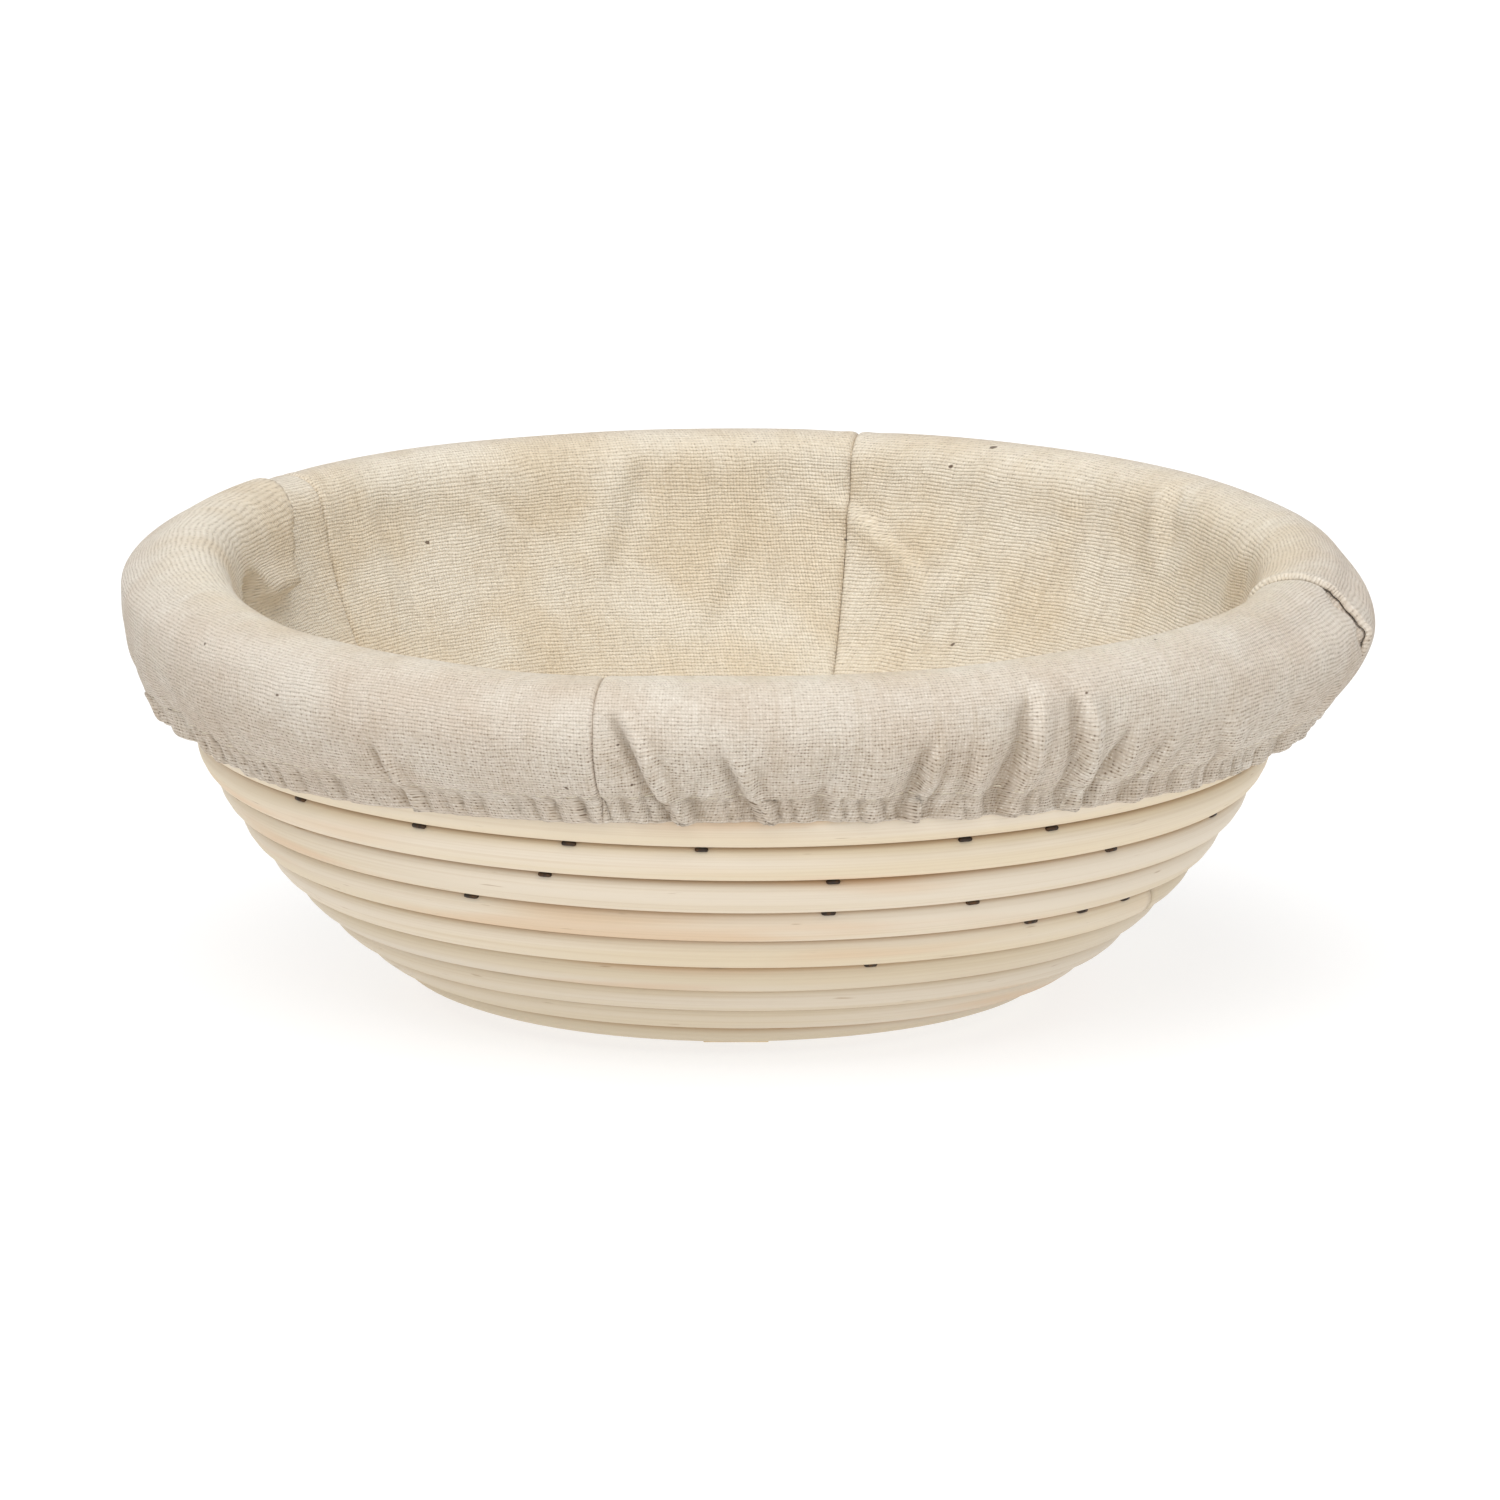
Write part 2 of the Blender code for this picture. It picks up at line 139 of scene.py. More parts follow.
def wall_point(s, out=0.0):
    """Radius and height s turns above the foot, out towards the outside."""
    slope = WALL_START + np.maximum(s, 0.0) * PITCH / WALL_BEND
    r = FOOT_RADIUS + WALL_BEND * (np.sin(slope) - math.sin(WALL_START))
    z = BASE_Z + WALL_BEND * (math.cos(WALL_START) - np.cos(slope))
    r = r + np.minimum(s, 0.0) * PITCH
    turn = wall_angle(s)
    return r + out * np.sin(turn), z - out * np.cos(turn)


def turns_at_height(z):
    """How many turns above the foot the wall is at height z."""
    slope = np.arccos(math.cos(WALL_START) - (z - BASE_Z) / WALL_BEND)
    return (slope - WALL_START) * WALL_BEND / PITCH


def coil_height(u):
    """Turns above the foot after u turns of winding from the front."""
    level = LEVELLED * smooth(u / RIM_TURNS)
    turn = np.floor(u - CROSSOVER)
    f = u - CROSSOVER - turn
    climb = 0.5 * smooth(f / CROSSING) + 0.5 * smooth((f - 1.0) / CROSSING + 1.0)
    return (1.0 - level) * u + level * (turn + 0.5 + climb)


def taper(u):
    """The cane is pared down to a thin end where the coil ends at the rim."""
    past = (u - RIM_TURNS - CROSSOVER) / CROSSING + 1.0
    return 1.0 - (1.0 - RIM_END) * smooth(past)


# ---------------------------------------------------------------- meshes
def new_piece(name, points, faces, material, body):
    """A smooth mesh that rides on a body and takes its finish from a slot."""
    mesh = bpy.data.meshes.new(name)
    mesh.from_pydata(np.asarray(points).tolist(), [], faces)
    mesh.polygons.foreach_set("use_smooth", [True] * len(mesh.polygons))
    mesh.materials.append(material)
    mesh.update()
    piece = bpy.data.objects.new(name, mesh)
    bpy.context.scene.collection.objects.link(piece)
    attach(piece, body)
    return piece


def lay_grain(piece, name, values):
    """Keeps three numbers a point for the material: where it lies in the grain."""
    layer = piece.data.attributes.new(name, "FLOAT_VECTOR", "POINT")
    layer.data.foreach_set("vector", np.asarray(values, dtype=float).ravel())


def tube_faces(rings, sides, first=0):
    """Faces of a capped tube whose rings of points follow one another."""
    faces = [tuple(first + i for i in reversed(range(sides)))]
    for i in range(rings - 1):
        a, b = first + i * sides, first + (i + 1) * sides
        for j in range(sides):
            k = (j + 1) % sides
            faces.append((a + j, a + k, b + k, b + j))
    last = first + (rings - 1) * sides
    faces.append(tuple(last + i for i in range(sides)))
    return faces


def tube_points(path, radius, sides):
    """Rings of points round a path, flat against a steady side direction."""
    path = np.asarray(path)
    along = np.gradient(path, axis=0)
    along /= np.linalg.norm(along, axis=1, keepdims=True)
    side = np.cross(along, (0.0, 0.0, 1.0)) + np.array((1e-6, 2e-6, 0.0))
    side /= np.linalg.norm(side, axis=1, keepdims=True)
    up = np.cross(side, along)
    turn = np.arange(sides) * 2.0 * math.pi / sides
    ring = (side[:, None] * np.cos(turn)[None, :, None]
            + up[:, None] * np.sin(turn)[None, :, None])
    return (path[:, None] + ring * radius).reshape(-1, 3)


def many_tubes(name, paths, radius, sides, material, body):
    """One piece of many short tubes, such as stitches or staples."""
    points, faces = [], []
    for path in paths:
        faces += tube_faces(len(path), sides, sum(len(p) for p in points))
        points.append(tube_points(path, radius, sides))
    return new_piece(name, np.concatenate(points), faces, material, body)


# ---------------------------------------------------------------- materials
class Socket:
    """An output of a shader node that can be used in sums."""

    def __init__(self, tree, socket=None):
        self.tree, self.socket = tree, socket

    def node(self, kind, settings=None, values=None, out=0):
        """Adds a node and gives back one of its outputs."""
        made = self.tree.nodes.new("ShaderNode" + kind)
        for key, setting in (settings or {}).items():
            setattr(made, key, setting)
        for key, value in (values or {}).items():
            self.plug(made.inputs[key], value)
        return Socket(self.tree, made.outputs[out])

    def plug(self, target, value):
        if isinstance(value, Socket):
            self.tree.links.new(value.socket, target)
        else:
            target.default_value = value

    def sum(self, operation, *terms):
        return self.node("Math", {"operation": operation}, dict(enumerate(terms)))

    def __add__(self, other):
        return self.sum("ADD", self, other)

    def __radd__(self, other):
        return self.sum("ADD", other, self)

    def __sub__(self, other):
        return self.sum("SUBTRACT", self, other)

    def __rsub__(self, other):
        return self.sum("SUBTRACT", other, self)

    def __mul__(self, other):
        return self.sum("MULTIPLY", self, other)

    def __rmul__(self, other):
        return self.sum("MULTIPLY", other, self)

    def abs(self):
        return self.sum("ABSOLUTE", self)

    def sine(self):
        return self.sum("SINE", self)

    def above(self, low, high):
        """0 below low, 1 above high, and smooth between."""
        return self.node("MapRange", {"interpolation_type": "SMOOTHSTEP"},
                         {"Value": self, "From Min": low, "From Max": high})

    def noise(self, scale, detail=2.0, stretch=(1.0, 1.0, 1.0), shift=0.0,
              roughness=0.5):
        """Noise over this vector socket, stretched along its axes."""
        place = self.node("Mapping", None, {"Vector": self, "Scale": stretch,
                                            "Location": (shift, shift, shift)})
        return self.node("TexNoise", None,
                         {"Vector": place, "Scale": scale, "Detail": detail,
                          "Roughness": roughness})

    def blend(self, low, high):
        """Colour from low to high by this factor."""
        return self.node("Mix", {"data_type": "RGBA", "clamp_factor": True},
                         {0: self, 6: low, 7: high}, out=2)


def srgb(red, green, blue):
    """A colour given as it looks on a screen, 0 to 255, for a shader."""
    def linear(c):
        c /= 255.0
        return c / 12.92 if c <= 0.04045 else ((c + 0.055) / 1.055) ** 2.4
    return (linear(red), linear(green), linear(blue), 1.0)


def new_material(name, **fixed):
    """A Principled material, and a Socket that starts its node sums."""
    material = bpy.data.materials.new(name)
    material.use_nodes = True
    shader = material.node_tree.nodes["Principled BSDF"]
    for key, value in fixed.items():
        shader.inputs[key.replace("_", " ")].default_value = value
    return material, shader, Socket(material.node_tree)


def give(start, shader, name, value):
    """Feeds one input of a material's shader."""
    start.plug(shader.inputs[name], value)


def give_bump(start, shader, height, distance, strength=1.0):
    """Raises a material's surface by a height from 0 to about 1."""
    bump = start.node("Bump", None, {"Height": height, "Distance": distance,
                                     "Strength": strength})
    give(start, shader, "Normal", bump)


def cane_material(name, shade_tone):
    """Peeled cane: pale, with long fibres and warm streaks, painted shade in the groove
    between turns, and a painted darker tone on the lower strands.
    """
    mat, shader, start = new_material(name, Specular_IOR_Level=0.35)

    # Painted shade: every colour of the cane is darkened by the strand's shade tone.
    def shaded(red, green, blue):
        return srgb(red * shade_tone, green * shade_tone, blue * shade_tone)

    grain = start.node("Attribute", {"attribute_name": "grain"}, out=1)
    fibres = grain.noise(1000.0, 3.0, (0.012, 2.2, 2.2))
    fine = grain.noise(1000.0, 2.0, (0.03, 6.0, 6.0), 3.0)
    streaks = grain.noise(1000.0, 2.0, (0.006, 0.16, 0.16), 7.0)
    blush = grain.noise(1000.0, 2.0, (0.011, 0.11, 0.11), 11.0)
    specks = grain.noise(1000.0, 1.0, (0.12, 1.6, 1.6), 17.0)
    pale = streaks.above(0.36, 0.66).blend(shaded(227, 211, 183), shaded(232, 219, 199))
    warm = (blush.above(0.50, 0.66) * 0.85).blend(pale, shaded(226, 198, 166))
    lined = (0.78 + fibres.above(0.30, 0.55) * 0.22).blend(shaded(204, 180, 146), warm)
    speckled = (specks.above(0.72, 0.80) * 0.45).blend(lined, srgb(150, 112, 70))
    out = start.node("SeparateXYZ", None, {0: grain}, 1)
    up = start.node("SeparateXYZ", None, {0: grain}, 2)
    # Painted shade: the cane is darkened towards the top and bottom of its section, in
    # the groove between one turn and the next.
    painted_groove_shade = (up.abs() - out * 0.18 + (blush - 0.5) * (0.6 * MM)).above(2.9 * MM,
                                                                        3.7 * MM)
    give(start, shader, "Base Color",
         (painted_groove_shade * 0.62).blend(speckled, srgb(168, 130, 84)))
    give(start, shader, "Roughness", 0.50 + fine * 0.22)
    give_bump(start, shader, fibres * 0.7 + fine * 0.3, 0.10 * MM, 0.6)
    return mat


def linen_material():
    """Plain-weave linen with slubs, brown flecks and thread lines, painted warm light
    in the bowl and painted shade in the skirt's folds.
    """
    mat, shader, start = new_material("unbleached_linen", Sheen_Weight=0.12,
                                      Sheen_Roughness=0.6,
                                      Specular_IOR_Level=0.2, Roughness=0.92)
    thread = start.node("Attribute", {"attribute_name": "thread"}, out=1)
    wave = thread.noise(90.0, 2.0, shift=2.0)
    across = start.node("SeparateXYZ", None, {0: thread}, 0)
    down = start.node("SeparateXYZ", None, {0: thread}, 1)
    weft = (down * (math.pi / WEFT) + wave * 9.0).sine().abs()
    warp = (across * (math.pi / WARP) + wave * 9.0).sine().abs()
    slub_weft = thread.noise(1000.0, 2.0, (0.22, 1.9, 1.0), 5.0, 0.6)
    slub_warp = thread.noise(1000.0, 2.0, (1.9, 0.20, 1.0), 9.0, 0.6)
    thick_warp = thread.noise(1000.0, 2.0, (0.55, 0.045, 1.0), 17.0, 0.6)
    mottle = thread.noise(1000.0, 3.0, (1.5, 1.5, 1.0), 13.0, 0.7)
    cloud = thread.noise(60.0, 3.0, shift=21.0)
    flecks = thread.noise(1000.0, 1.0, (0.36, 0.46, 0.4), 33.0)
    # Painted light: the cloth in the bowl is painted lighter and warmer than the same
    # cloth over the rim and on the skirt, for light bounced about inside the bowl.
    bowl = 1.0 - down.above(CROWN_TRAVEL - 12.0 * MM, CROWN_TRAVEL + 2.0 * MM)
    open_weave = 0.45 + down.above(CROWN_TRAVEL + 4.0 * MM,
                                   CROWN_TRAVEL + 16.0 * MM) * 0.55
    grey = cloud.above(0.30, 0.72).blend(srgb(224, 215, 202), srgb(212, 198, 182))
    warm = cloud.above(0.30, 0.72).blend(srgb(236, 227, 210), srgb(227, 212, 187))
    painted_fold_shade = start.node("Attribute", {"attribute_name": "painted_fold_shade"}, out=2)
    # Painted shade: the skirt's colour is darkened in the hollows between its folds.
    base = painted_fold_shade.blend(bowl.blend(grey, warm), srgb(150, 132, 110))
    dents = (1.0 - weft) * (0.20 + mottle.above(0.44, 0.58) * 0.80) * open_weave
    dim = (dents * 0.62).blend(base, srgb(146, 124, 98))
    holes = ((1.0 - weft) * (1.0 - warp) * mottle.above(0.48, 0.60)).above(0.08, 0.36)
    pitted = (holes * open_weave * 0.85).blend(dim, srgb(96, 76, 56))
    threads = slub_weft.above(0.34, 0.66) * 0.5 + slub_warp.above(0.34, 0.66) * 0.5
    woven = (threads * open_weave * 0.42).blend(pitted, srgb(168, 148, 122))
    lines = (thick_warp.above(0.54, 0.72) * 0.12).blend(woven, srgb(176, 156, 126))
    knots = (weft * warp * (1.0 - mottle)).above(0.42, 0.62)
    light = (knots * 0.55).blend(lines, srgb(244, 240, 232))
    brown = (flecks.above(0.800, 0.820) * 0.85).blend(light, srgb(92, 72, 54))
    give(start, shader, "Base Color", brown)
    height = (weft * 0.5 + warp * 0.4 + slub_weft * 0.6 + slub_warp * 0.6
              + mottle * 0.9)
    give_bump(start, shader, height, 0.30 * MM, 0.8)
    return mat


def batten_material():
    """Planed softwood with faint rings."""
    mat, shader, start = new_material("planed_batten", Specular_IOR_Level=0.3)
    place = start.node("TexCoord", None, None, out=3)
    grain = place.noise(1000.0, 4.0, (0.25, 0.05, 0.4))
    rings = place.noise(1000.0, 2.0, (0.08, 0.02, 0.4), 5.0)
    colour = grain.above(0.35, 0.7).blend(srgb(206, 182, 140), srgb(228, 208, 172))
    give(start, shader, "Base Color",
         (rings.above(0.55, 0.7) * 0.35).blend(colour, srgb(188, 156, 110)))
    give(start, shader, "Roughness", 0.55 + grain * 0.2)
    give_bump(start, shader, grain, 0.12 * MM)
    return mat


def staple_material():
    """Dark steel wire with a little rust."""
    mat, shader, start = new_material("staple_wire", Metallic=0.9)
    place = start.node("TexCoord", None, None, out=3)
    rust = place.noise(900.0, 3.0)
    give(start, shader, "Base Color",
         rust.above(0.4, 0.7).blend(srgb(66, 58, 52), srgb(96, 72, 52)))
    give(start, shader, "Roughness", 0.35 + rust * 0.35)
    give_bump(start, shader, rust, 0.03 * MM)
    return mat


def elastic_material():
    """White ribbed band."""
    mat, shader, start = new_material("woven_elastic", Roughness=0.8)
    place = start.node("TexCoord", None, None, out=3)
    ribs = place.noise(1000.0, 2.0, (0.5, 0.5, 4.0))
    give(start, shader, "Base Color",
         ribs.above(0.35, 0.65).blend(srgb(206, 204, 198), srgb(238, 237, 232)))
    give_bump(start, shader, ribs, 0.1 * MM)
    return mat


def thread_material():
    """Twisted sewing thread, in the linen's colour."""
    mat, shader, start = new_material("sewing_thread", Roughness=0.75)
    place = start.node("TexCoord", None, None, out=3)
    twist = place.noise(2500.0, 1.0)
    give(start, shader, "Base Color",
         twist.above(0.3, 0.7).blend(srgb(206, 194, 170), srgb(232, 224, 206)))
    give_bump(start, shader, twist, 0.05 * MM)
    return mat


def floor_material():
    """A white floor that glows a little, so that shadows on it stay faint."""
    mat, shader, start = new_material("pale_table", Roughness=0.7,
                                      Specular_IOR_Level=0.1, Emission_Strength=0.72,
                                      Emission_Color=(1.0, 1.0, 1.0, 1.0))
    place = start.node("TexCoord", None, None, out=3)
    cloud = place.noise(3.0, 2.0)
    give(start, shader, "Base Color",
         cloud.blend((0.34, 0.34, 0.34, 1.0), (0.36, 0.36, 0.36, 1.0)))
    return mat


# ---------------------------------------------------------------- basket
def cane_centre(u):
    """Radius, height and section slope of the cane after u turns."""
    small = taper(u)
    s = coil_height(u) - (1.0 - small) * CANE / PITCH
    r, z = wall_point(s, CANE_WAVER * wander(u * 9.0, 4))
    return r, z, wall_angle(s), small


def half_height(u, toward, end):
    """Half the distance to the next turn up (1) or down (-1)."""
    here = np.array(wall_point(coil_height(u)))
    there = np.array(wall_point(coil_height(u + toward)))
    half = np.linalg.norm(there - here, axis=0) / 2.0 - 0.015 * MM
    outside = (u + toward > end) if toward > 0 else (u + toward < end)
    return np.where(outside, CANE * 1.03, half)


def cane_strand(name, start, end, material):
    """One length of the coil, each turn pressed against its neighbours."""
    first, last = STRANDS[0][1], STRANDS[-1][2]
    length = 2.0 * math.pi * (wall_point(coil_height(np.linspace(start, end, 99)))[0]
                              .mean()) * (end - start)
    trim = SPLICE_GAP / 2.0 / length * (end - start)
    u = np.linspace(start + trim, end - trim, int(length / CANE_STEP))
    r, z, slope, small = cane_centre(u)
    turn = np.arange(CANE_SIDES) * 2.0 * math.pi / CANE_SIDES + math.pi / 2.0
    cos, sin = np.cos(turn)[None], np.sin(turn)[None]
    out = np.sign(cos) * np.abs(cos) ** SECTION_POWER
    up = np.sign(sin) * np.abs(sin) ** SECTION_POWER
    thick = CANE * (1.02 + 0.03 * wander(u * 11.0, 8))[:, None]
    tall = np.where(up > 0.0, half_height(u, 1.0, last)[:, None],
                    half_height(u, -1.0, first)[:, None])
    out, up = out * thick * small[:, None], up * tall * small[:, None]
    rr = r[:, None] + out * np.sin(slope)[:, None] + up * np.cos(slope)[:, None]
    zz = z[:, None] - out * np.cos(slope)[:, None] + up * np.sin(slope)[:, None]
    to_end = np.minimum(u - start, end - u) * 2.0 * math.pi * r
    lean = SPLICE_SLANT * smooth(1.0 - to_end / SPLICE_REACH)[:, None]
    if name == "cane_base":
        lean = lean * (u > 0.0)[:, None]
    az = FRONT - 2.0 * math.pi * u[:, None] - lean * up / rr
    points = np.stack((rr * np.cos(az), rr * np.sin(az), zz), axis=-1)
    piece = new_piece(name + "_grown", points.reshape(-1, 3),
                      tube_faces(len(u), CANE_SIDES), material, "basket")
    travel = np.concatenate(((0.0,), np.cumsum(2.0 * math.pi * r[1:] * np.diff(u))))
    travel = travel[:, None] + start * 3.7 + lean * up
    grain = np.stack(np.broadcast_arrays(travel, out, up), axis=-1)
    lay_grain(piece, "grain", grain.reshape(-1, 3))
    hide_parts(name)


def staple_path(u, crown, depth):
    """Points of one staple: crown in the groove, legs in the turn below it."""
    here, above, below = (coil_height(u + t) for t in (0.0, 1.0, -1.0))
    r, z = wall_point((here + above) / 2.0, depth)
    in_r, in_z = wall_point(here * 0.62 + above * 0.38, depth - 1.0 * MM)
    tip_r, tip_z = wall_point(here * 0.4 + below * 0.6, 0.0)
    az = FRONT - 2.0 * math.pi * u
    points = []
    for side, radius, height in ((-0.9, tip_r, tip_z), (-1.0, in_r, in_z),
                                 (-0.85, r, z), (0.0, r + 0.05 * MM, z),
                                 (0.85, r, z), (1.0, in_r, in_z),
                                 (0.9, tip_r, tip_z)):
        turn = az + side * crown / 2.0 / radius
        points.append((radius * math.cos(turn), radius * math.sin(turn), height))
    return points


def turns_of(node):
    """How far along the coil a staple of the wall sits."""
    low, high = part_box(node)
    x, y = ((a + b) / 2.0 for a, b in zip(low[:2], high[:2]))
    part = (FRONT - math.atan2(y, x)) / (2.0 * math.pi) % 1.0
    choices = part + np.arange(-1, RIM_TURNS)
    seats = wall_point((coil_height(choices) + coil_height(choices + 1.0)) / 2.0,
                       CANE)
    return float(choices[np.argmin(np.abs(seats[1] - high[2]))])


def build_staples(material):
    """The staples that hold each turn of the coil to the one below."""
    rng = np.random.default_rng(31)
    seats = {node: turns_of(node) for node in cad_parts
             if node.startswith("staple_wall")}
    for node, u in seats.items():
        crown = rng.uniform(*STAPLE_CROWNS) * MM
        path = staple_path(np.float64(u), crown, 2.5 * MM)
        piece = many_tubes(node + "_wire", [path], STAPLE_WIRE, 8, material, "basket")
        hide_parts(node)
    paths, u = [], -4.6
    while u < RIM_TURNS - 1.05 + CROSSOVER:
        r = float(wall_point(coil_height(np.float64(u)))[0])
        depth = rng.choice((0.6, 1.0, 1.3, 2.0), p=(0.3, 0.3, 0.3, 0.1)) * MM
        round_here = 2.0 * math.pi * r
        if all(abs(u - seat) * round_here > STAPLE_ROOM for seat in seats.values()):
            paths.append(staple_path(np.float64(u), SMALL_CROWN, depth))
        spacing = STAPLE_SPACING * (1.0 + 0.28 * rng.uniform(-1.0, 1.0))
        u += spacing / round_here
    many_tubes("staples_along_turns", paths, SMALL_WIRE, 6, material, "basket")


# ---------------------------------------------------------------- liner shape
# The crown's control points, out from and above the rim's top turn, in mm.
OVER_RIM = ((-3.0, 5.3), (1.0, 5.96), (5.0, 4.5), (7.8, 1.8), (8.9, -1.6))
# Where the skirt stands out or lies close: azimuth and width in degrees, mm.
BULGES = ((-10.0, 24.0, 4.2), (180.0, 22.0, -1.2), (90.0, 50.0, -0.8))
# Where the hem rides up, and where it stands off the cane, in the same units.
LIFTS = ((189.0, 28.0, 8.2), (-8.0, 28.0, 7.2))
STANDS = ((194.0, 18.0, 1.6), (-10.0, 22.0, 3.4), (120.0, 20.0, 1.2))
SEAM_NAMES = ("front_left", "right", "rear_right", "rear_left")
# One row of gathers a line: how many round the rim, their height in mm, the share of
# the skirt where they start and how soon they are full, how plump they are, a seed.
GATHERS = ((34, 2.4, 0.05, 0.60, 0.9, 51), (78, 3.0, 0.22, 0.50, 0.7, 52),
           (150, 3.2, 0.55, 0.22, 0.55, 53))
CALM = (236.0, 20.0, 0.85)       # azimuth and width where the skirt is tight, how much
# Loose cloth in the bowl: azimuth, width, place and reach up the wall, size in mm.
PUFFS = ((196.0, 14.0, 14.5, 2.0, 1.5), (354.0, 14.0, 14.5, 1.6, 3.2),
         (22.0, 9.0, 14.5, 1.8, 2.4), (60.0, 12.0, 12.0, 3.5, 1.4),
         (112.0, 16.0, 12.5, 3.5, 1.6), (128.0, 12.0, 10.5, 2.5, 1.8))
# One crease of the bowl a line: azimuth and place where it starts and ends, depth.
FOLDS = ((78.5, 14.2, 67.0, 12.2, 1.6), (35.9, 15.8, 34.2, 13.6, 1.7),
         (48.0, 15.0, 52.0, 12.0, 1.0), (100.0, 15.0, 104.0, 12.2, 1.0),
         (120.0, 14.6, 112.0, 13.0, 0.9), (88.0, 13.0, 93.0, 10.5, 0.9),
         (12.0, 15.2, 16.0, 12.5, 1.2), (133.0, 14.5, 131.0, 12.0, 1.1),
         (62.0, 12.2, 70.0, 9.5, 1.0), (300.0, 14.5, 296.0, 12.0, 1.1),
         (240.0, 14.5, 245.0, 11.5, 1.1), (210.0, 14.0, 206.0, 11.0, 1.2))
# One crease of the skirt a line: azimuth and share of the skirt where it starts and
# ends, its depth and its width in mm.
CREASES = ((288.4, 0.05, 287.0, 1.00, 2.0, 1.6), (233.8, 0.25, 235.0, 0.75, 1.7, 1.3),
           (257.6, -0.35, 263.6, 1.00, 3.2, 2.0), (268.2, 0.12, 272.4, 1.00, 2.9, 1.9),
           (287.8, 0.10, 286.3, 1.00, 1.3, 2.0), (292.7, 0.05, 291.7, 1.00, 1.3, 2.2),
           (298.3, -0.60, 297.0, 1.00, 2.8, 2.2), (302.4, -0.50, 305.0, 1.00, 2.6, 2.0),
           (309.4, 0.10, 308.0, 1.00, 2.2, 1.8), (314.5, 0.20, 313.0, 1.00, 1.8, 2.0),
           (278.4, 0.45, 279.3, 1.00, 0.9, 1.8), (234.4, 0.30, 235.2, 1.00, 1.2, 1.6),
           (226.0, 0.45, 226.9, 1.00, 0.9, 1.6), (320.0, 0.10, 325.0, 0.90, 1.1, 3.0),
           (60.0, 0.00, 63.0, 1.00, 1.5, 2.2), (98.0, 0.10, 96.0, 1.00, 1.5, 2.4),
           (121.0, 0.20, 123.0, 1.00, 1.3, 2.0), (160.0, 0.10, 158.0, 1.00, 1.4, 2.2),
           (201.0, 0.30, 202.0, 1.00, 1.1, 2.0), (20.0, 0.10, 18.0, 1.00, 1.4, 2.2))


def hem_height(az):
    """Height of the bottom of the hem round the basket: highest at the front."""
    front = np.maximum(0.0, -np.sin(az)) ** 2
    back = np.maximum(0.0, np.sin(az)) ** 2
    waver = 0.7 * MM * wander(az / (2.0 * math.pi) * 17.0, 12, 17)
    rise = HEM_RISE_FRONT * front + HEM_RISE_BACK * back
    return HEM_LOW + rise + waver + swells(az, LIFTS)


def swells(az, places):
    """Sum of smooth swells round the rim: azimuth, width and size of each."""
    total = np.zeros_like(az)
    for middle, width, size in places:
        off = np.angle(np.exp(1j * (az - math.radians(middle))))
        total += size * MM * np.exp(-(off / math.radians(width)) ** 2)
    return total


def liner_outline(az):
    """Control points of the cloth's section at each azimuth: radius, height."""
    shape = []
    inside = -(CANE + CLOTH_CLEARANCE)
    for r in (0.2, 16.0, 30.0, 44.0):
        shape.append((r * MM, BASE_Z - inside))
    for i in range(12):
        shape.append(wall_point(0.35 + 0.98 * i, inside))
    rim_r, rim_z = wall_point(RIM_TURNS)
    for dr, dz in OVER_RIM:
        shape.append((rim_r + dr * MM, rim_z + dz * MM))
    full = np.ones_like(az)
    rows = [(r * full, z * full) for r, z in shape]
    low = hem_height(az)
    cane = wall_point(turns_at_height(low), CANE)[0]
    foot = cane + HEM_CLEARANCE + swells(az, STANDS)
    top_r, top_z = rows[-1]
    drop = top_z - low
    out = swells(az, BULGES)
    rows[-1] = (top_r + 0.7 * out, top_z)
    rows.append((top_r + out, top_z - 0.22 * drop))
    rows.append((top_r + (foot - top_r) * 0.17 + 0.8 * out, top_z - 0.46 * drop))
    rows.append((top_r + (foot - top_r) * 0.50 + 0.5 * out, top_z - 0.69 * drop))
    rows.append((foot + 2.2 * MM, low + 4.6 * MM))
    rows.append((foot + 0.5 * MM, low + 0.7 * MM))
    rows.append((foot - 0.6 * MM, low + 0.6 * MM))
    rows.append((foot + 0.7 * MM, low + 4.0 * MM))
    rows.append((foot + 2.6 * MM, low + HEM_TURN + 0.6 * MM))
    return (np.array([r for r, z in rows]), np.array([z for r, z in rows]))


def curve_weights(places, count):
    """How much each control point counts at each place of a smooth curve."""
    weights = np.zeros((len(places), count))
    for row, p in enumerate(places):
        i = min(int(p), count - 2)
        t = p - i
        share = (-0.5 * t ** 3 + t * t - 0.5 * t, 1.5 * t ** 3 - 2.5 * t * t + 1.0,
                 -1.5 * t ** 3 + 2.0 * t * t + 0.5 * t, 0.5 * t ** 3 - 0.5 * t * t)
        for k, w in zip((i - 1, i, i + 1, i + 2), share):
            weights[row, min(max(k, 0), count - 1)] += w
    return weights


CROWN = 16                       # control point where the cloth leaves the wall
SKIRT = 20                       # where it hangs from the crown
STITCHES = 23.3                  # where the hem's casing is stitched
FOLD = 25                        # the bottom fold of the hem
LAST = 28
ROWS = ((0, 3, 3), (3, 14, 4), (14, CROWN, 6), (CROWN, SKIRT, 5), (SKIRT, 23, 9),
        (23, 24, 9), (24, 26, 5), (26, LAST, 3))


def row_places():
    """Places of the cloth's rows, as control points passed."""
    places = []
    for start, end, each in ROWS:
        places += list(np.arange(start, end, 1.0 / each))
    return np.array(places + [LAST - 0.001])


def seam_distance(az, r, seam):
    """How far past a seam an azimuth lies, measured along the cloth."""
    return np.angle(np.exp(1j * (az - seam))) * r


